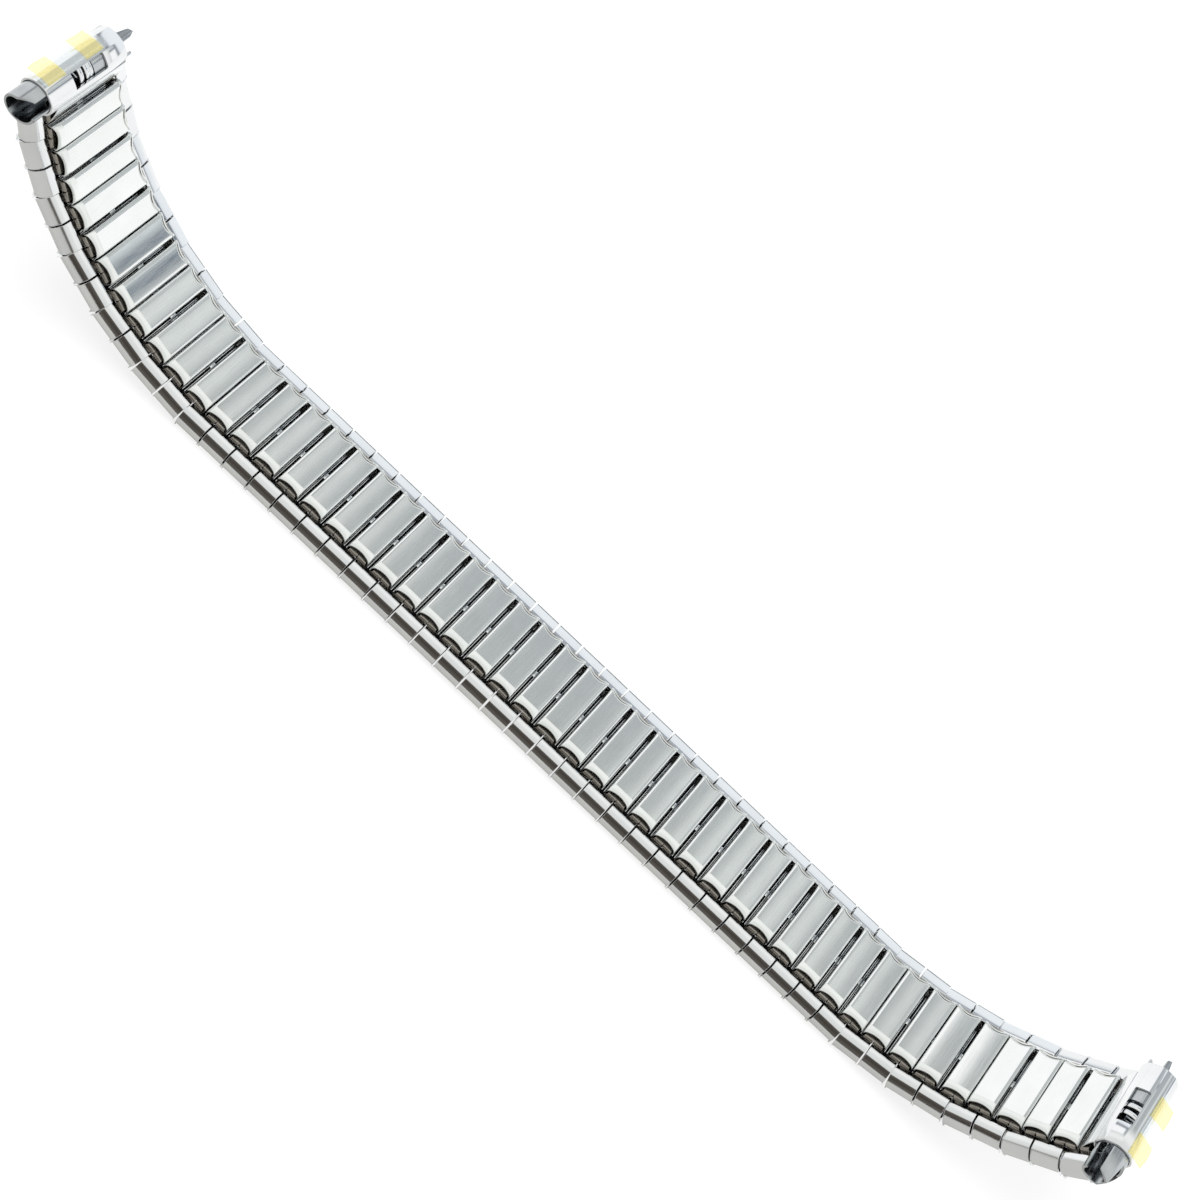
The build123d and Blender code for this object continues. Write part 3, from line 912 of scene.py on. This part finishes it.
film = {
    "thick": 0.04, "lift": 0.03,  # off the sheath
    "tails": {"start": 1.8, "finish": 2.2},  # of its loose edge, straight down from the outward side
    "holds": {"start": 32.0, "finish": 8.0},  # degrees from the outward side, where its fixed edge lies
    "wave": 0.06, "waveTurn": 1.7, "waveStart": 0.6,  # of its loose edge, outwards, in radians to a millimetre
    "edgeWave": 0.05, "edgeTurn": 2.3,  # the same, down
    "steps": 8, "step": 0.25,  # along each part of its path, and the length of one along the sheath
    "fields": {"start": ((-2.45, 0.0), (3.0, 5.5)), "finish": ((-4.7, -1.9), (0.5, 3.2))},
    "ends": {"start": (-3.0, 5.9), "finish": (-4.85, 3.7)},
}


# The film's path across the tube: round it from the fixed edge, then straight on
def filmPath(side, lift):
    radius = fitting["bore"] + fitting["sheet"] + film["lift"] + lift
    steps = film["steps"]
    path = arc((0, 0), radius, film["holds"][side], 0, steps)
    return path + [(radius, -film["tails"][side] * n / steps) for n in range(1, steps + 1)]


def filmMesh(side):
    low, high = film["ends"][side]
    fields = film["fields"][side]
    edges = sorted({low, high, *(place for field in fields for place in field)})
    places = []
    for a, b in zip(edges, edges[1:]):
        count = max(2, round((b - a) / film["step"]))
        places += [a + (b - a) * n / count for n in range(count)]
    places.append(high)
    verts, faces, kinds = [], [], []
    for depth in (0, film["thick"]):
        across = filmPath(side, depth)
        for y in places:
            for x, z in across:
                free = max(0.0, -z / film["tails"][side])
                rise = film["wave"] * free * sin(film["waveTurn"] * y + film["waveStart"])
                edge = film["edgeWave"] * free * sin(film["edgeTurn"] * y)
                verts.append((fitting["axisX"] + x + rise, y, fitting["axisZ"] + z + edge))
    wide, layer = len(across), len(across) * len(places)
    for n in range(len(places) - 1):
        middle = (places[n] + places[n + 1]) / 2
        yellow = any(start < middle < end for start, end in fields)
        for m in range(wide - 1):
            a = n * wide + m
            b = layer + a
            faces += [(a, a + 1, a + wide + 1, a + wide), (b, b + wide, b + wide + 1, b + 1)]
            kinds += [yellow, yellow]
        for m in (0, wide - 1):
            a = n * wide + m
            faces.append((a, a + wide, layer + a + wide, layer + a))
            kinds.append(yellow)
    for n in (0, len(places) - 1):
        for m in range(wide - 1):
            a = n * wide + m
            faces.append((a, a + 1, layer + a + 1, layer + a))
            kinds.append(False)
    mesh = bpy.data.meshes.new(f"{side}Film")
    mesh.from_pydata([Vector(v) * mm for v in verts], [], faces)
    mesh.materials.append(clearFilm)
    mesh.materials.append(yellowFilm)
    for face, yellow in zip(mesh.polygons, kinds):
        face.material_index = 1 if yellow else 0
    work = bmesh.new()
    work.from_mesh(mesh)
    bmesh.ops.recalc_face_normals(work, faces=work.faces)
    work.to_mesh(mesh)
    work.free()
    mesh.shade_smooth()
    return mesh


sheathWhole = joined("sheath", [
    rounded(sheathMesh(), 0.03, polishedSteel, 2, 50),
    rounded(tongueMesh(), 0.05, polishedSteel, 3),
])
sliderMeshes = {}
for name, direction in (("startNear", 1), ("startFar", -1), ("finishNear", -1), ("finishFar", 1)):
    sliderMeshes[name] = rounded(sliderMesh(name, direction), 0.02, tubeSteel, 2, 50)


def along(y):
    return Matrix.Translation((0, y * mm, 0))


for side, (spot, angle) in endPlaces.items():
    starts = side == "start"
    matrix = poseAt(spot, angle, starts)
    put(f"{side}Sheath", sheathWhole, matrix, f"{side}_fitting", f"{side}_end_fitting")
    put(f"{side}Bows", bowsOfEnd, matrix, f"{side}_fitting", f"{side}_end_fitting")
    lowReach, highReach = slider["reaches"][side]
    lowEnd = fitting["shift"] - fitting["sheathLength"] / 2 - lowReach + slider["length"]
    highEnd = fitting["shift"] + fitting["sheathLength"] / 2 + highReach - slider["length"]
    lowName, highName = ("far", "near") if starts else ("near", "far")
    for name, end in ((lowName, lowEnd), (highName, highEnd)):
        node, tube = f"{side}_{name}_slider", sliderMeshes[side + name.title()]
        put(f"{side}{name.title()}Tube", tube, matrix @ along(end), node, node)
    # the coil in two halves, each from its middle to the inner end of one slider, baked where it stands
    middle = coil["middles"][side]
    for half, name, end in ((0, lowName, lowEnd), (1, highName, highEnd)):
        wire = coilMesh(f"{side}Coil{half}", lowEnd, middle, highEnd, half)
        piece = addObject(f"{side}Coil{name.title()}", rounded(wire, 0.02, polishedSteel, 2, 50))
        piece.matrix_world = matrix
        ends = [(fitting["axisX"], y, fitting["axisZ"]) for y in (middle, end)]
        here, there = [matrix @ (Vector(spot) * mm) for spot in ends]
        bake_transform(piece)
        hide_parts(f"{side}_coil_spring")
    sheet = addObject(f"{side}Film", filmMesh(side))
    sheet.matrix_world = matrix
    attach(sheet, f"{side}_fitting")
print("end pieces placed")


# floor, light and camera

paper = {
    "size": 6.0, "drop": 0.00002,  # in metres, below the lowest point of the CAD
    "colour": "#f2f2f0", "glow": "#ffffff", "paintedShadeGlow": "#a9a7a2",
    "paintedShadeEdge": 0.006,  # in metres, half the width over which it turns dimmer
    "seenShare": 0.8, "mirroredShare": 0.75,  # of the glow, seen by the camera and in the steel
}


# White paper, matt: it glows, so that it stays pale under the band but for a soft shadow
def paleFloor():
    material, tree, shader = newMaterial("palePaper")
    shader.inputs["Base Color"].default_value = linear(paper["colour"])
    shader.inputs["Roughness"].default_value = 0.85
    glow = addNode(tree, "Emission", None, {"Strength": 1.0})
    ray = addNode(tree, "LightPath")
    # in the steel the paper is dimmer in front of the band than behind it: a painted shade, seen only in
    # reflections
    place = addNode(tree, "NewGeometry")
    parts = addNode(tree, "SeparateXYZ", None, {0: place.outputs["Position"]})
    front = addNode(tree, "MapRange", None,
                    {"From Min": paper["paintedShadeEdge"], "From Max": -paper["paintedShadeEdge"],
                     "Value": parts.outputs["Y"]})
    paintedFrontShade = addNode(tree, "Math", {"operation": "MULTIPLY"},
                  {0: front.outputs[0], 1: ray.outputs["Is Glossy Ray"]})
    shades = {"A": linear(paper["glow"]), "B": linear(paper["paintedShadeGlow"])}
    seen = addNode(tree, "Mix", {"data_type": "RGBA"}, {"Factor": paintedFrontShade.outputs[0], **shades})
    tree.links.new(seen.outputs["Result"], glow.inputs["Color"])
    mirrored = addNode(tree, "Math", {"operation": "MULTIPLY"},
                       {1: paper["mirroredShare"], 0: ray.outputs["Is Glossy Ray"]})
    share = addNode(tree, "Math", {"operation": "MULTIPLY_ADD"},
                    {1: paper["seenShare"], 0: ray.outputs["Is Camera Ray"], 2: mirrored.outputs[0]})
    mix = addNode(tree, "MixShader", None,
                  {0: share.outputs[0], 1: shader.outputs[0], 2: glow.outputs[0]})
    tree.links.new(mix.outputs[0], tree.nodes["Material Output"].inputs["Surface"])
    return material


floorMesh = bpy.data.meshes.new("floor")
reach = paper["size"] / 2
corners = [(-reach, -reach, 0), (reach, -reach, 0), (reach, reach, 0), (-reach, reach, 0)]
floorMesh.from_pydata(corners, [], [(0, 1, 2, 3)])
floorMesh.materials.append(paleFloor())
floor = addObject("floor", floorMesh)
floor.location.z = cadBox[0][2] - paper["drop"]

# The room that the steel reflects, as bands across the band's width and lamps at angles along it
room = {
    "strength": 1.12,
    "seen": "#ffffff",  # behind the band, for the camera
    "bands": [  # share of the direction towards +Y, colour
        # a dark front, then the pale ceiling
        (-1.0, "#5c5752"), (-0.9, "#413d39"), (-0.72, "#5c5752"), (-0.64, "#d6d7d4"), (-0.3, "#dcddda"),
        (0.1, "#e2e4e2"), (0.2, "#f4f5f2"), (0.3, "#f4f5f2"), (0.4, "#cfd1d0"),
        # a grey wall, a window and the dark under it
        (0.47, "#aeb2b0"), (0.6, "#abb1bb"), (0.64, "#8a8f95"), (0.68, "#8a8f95"),
        (0.72, "#eef3f6"), (0.935, "#f2f6f9"), (0.955, "#5b6065"), (1.0, "#4d5052"),
    ],
    "lampBand": (0.4, 0.62),  # the lamps and the dark gap below cross only this part of the bands
    "lampBandEdge": 0.05,
    "lamps": [  # from, to, softness in degrees from straight up towards +X, colour
        (-200.0, -37.0, 2.0, "#ffffff"),
        (-12.0, -7.0, 2.0, "#d8dbda"),
        (7.0, 12.8, 2.5, "#dadedc"),
        (29.0, 36.0, 3.0, "#dde1df"),
        (44.0, 50.5, 3.0, "#d8dee1"),
        (51.5, 56.0, 3.0, "#66727f"),
        (60.0, 200.0, 6.0, "#ffffff"),
    ],
}


# One between two values, nothing outside them, with a soft edge
def between(tree, value, low, high, soft):
    half = soft / 2
    rise = addNode(tree, "MapRange", {"interpolation_type": "SMOOTHSTEP"},
                   {"From Min": low - half, "From Max": low + half, "Value": value})
    fall = addNode(tree, "MapRange", {"interpolation_type": "SMOOTHSTEP"},
                   {"From Min": high - half, "From Max": high + half, "To Min": 1.0, "To Max": 0.0,
                    "Value": value})
    both = addNode(tree, "Math", {"operation": "MULTIPLY"},
                   {0: rise.outputs[0], 1: fall.outputs[0]})
    return both.outputs[0]


def roomLight():
    world = bpy.data.worlds.new("room")
    bpy.context.scene.world = world
    world.use_nodes = True
    tree = world.node_tree
    background = tree.nodes["Background"]
    place = addNode(tree, "TexCoord")
    parts = addNode(tree, "SeparateXYZ", None, {0: place.outputs["Generated"]})
    share = addNode(tree, "MapRange", None,
                    {"From Min": -1.0, "From Max": 1.0, "Value": parts.outputs["Y"]})
    tone = addNode(tree, "ValToRGB", None, {0: share.outputs[0]})
    stops = tone.color_ramp.elements
    for _ in room["bands"][2:]:
        stops.new(0.5)
    for stop, (towards, colour) in zip(stops, room["bands"]):
        stop.position, stop.color = (towards + 1) / 2, linear(colour)
    turn = addNode(tree, "Math", {"operation": "ARCTAN2"},
                   {0: parts.outputs["X"], 1: parts.outputs["Z"]})
    degrees = addNode(tree, "Math", {"operation": "DEGREES"}, {0: turn.outputs[0]})
    inBand = between(tree, parts.outputs["Y"], *room["lampBand"], room["lampBandEdge"])
    shade = tone.outputs["Color"]
    for low, high, soft, colour in room["lamps"]:
        across = between(tree, degrees.outputs[0], low, high, soft)
        part = addNode(tree, "Math", {"operation": "MULTIPLY"}, {0: across, 1: inBand})
        lamp = addNode(tree, "Mix", {"data_type": "RGBA"},
                       {"Factor": part.outputs[0], "A": shade, "B": linear(colour)})
        shade = lamp.outputs["Result"]
    ray = addNode(tree, "LightPath")
    shown = addNode(tree, "Mix", {"data_type": "RGBA"},
                    {"Factor": ray.outputs["Is Camera Ray"], "A": shade, "B": linear(room["seen"])})
    tree.links.new(shown.outputs["Result"], background.inputs["Color"])
    background.inputs["Strength"].default_value = room["strength"]


roomLight()

lamps = {
    "top": {"place": (-0.15, 0.05, 0.75), "size": 0.5, "power": 5.0},
    "back": {"place": (0.3, 0.75, 0.5), "size": 0.4, "power": 3.0},
}
for name, lamp in lamps.items():
    data = bpy.data.lights.new(name, "AREA")
    data.size, data.energy = lamp["size"], lamp["power"]
    item = addObject(name, data)
    item.location = lamp["place"]
    item.visible_glossy = False
    item.rotation_euler = (-Vector(lamp["place"])).to_track_quat("-Z", "Y").to_euler()

photoCamera = {
    "place": (-2.37, -127.49, 225.75), "turn": (24.545, -21.782, 38.549),  # in millimetres and degrees
    "lens": 68.51, "sensor": 36.0, "reach": (0.01, 20.0),  # the nearest and farthest it sees, in metres
}
cameraData = bpy.data.cameras.new("camera")
cameraData.lens = photoCamera["lens"]
cameraData.sensor_width = photoCamera["sensor"]
cameraData.clip_start, cameraData.clip_end = photoCamera["reach"]
camera = addObject("camera", cameraData)
camera.location = Vector(photoCamera["place"]) * mm
camera.rotation_euler = Euler([radians(a) for a in photoCamera["turn"]], "XYZ")
bpy.context.scene.camera = camera
bpy.context.scene.view_settings.view_transform = "Standard"
print("stage set")
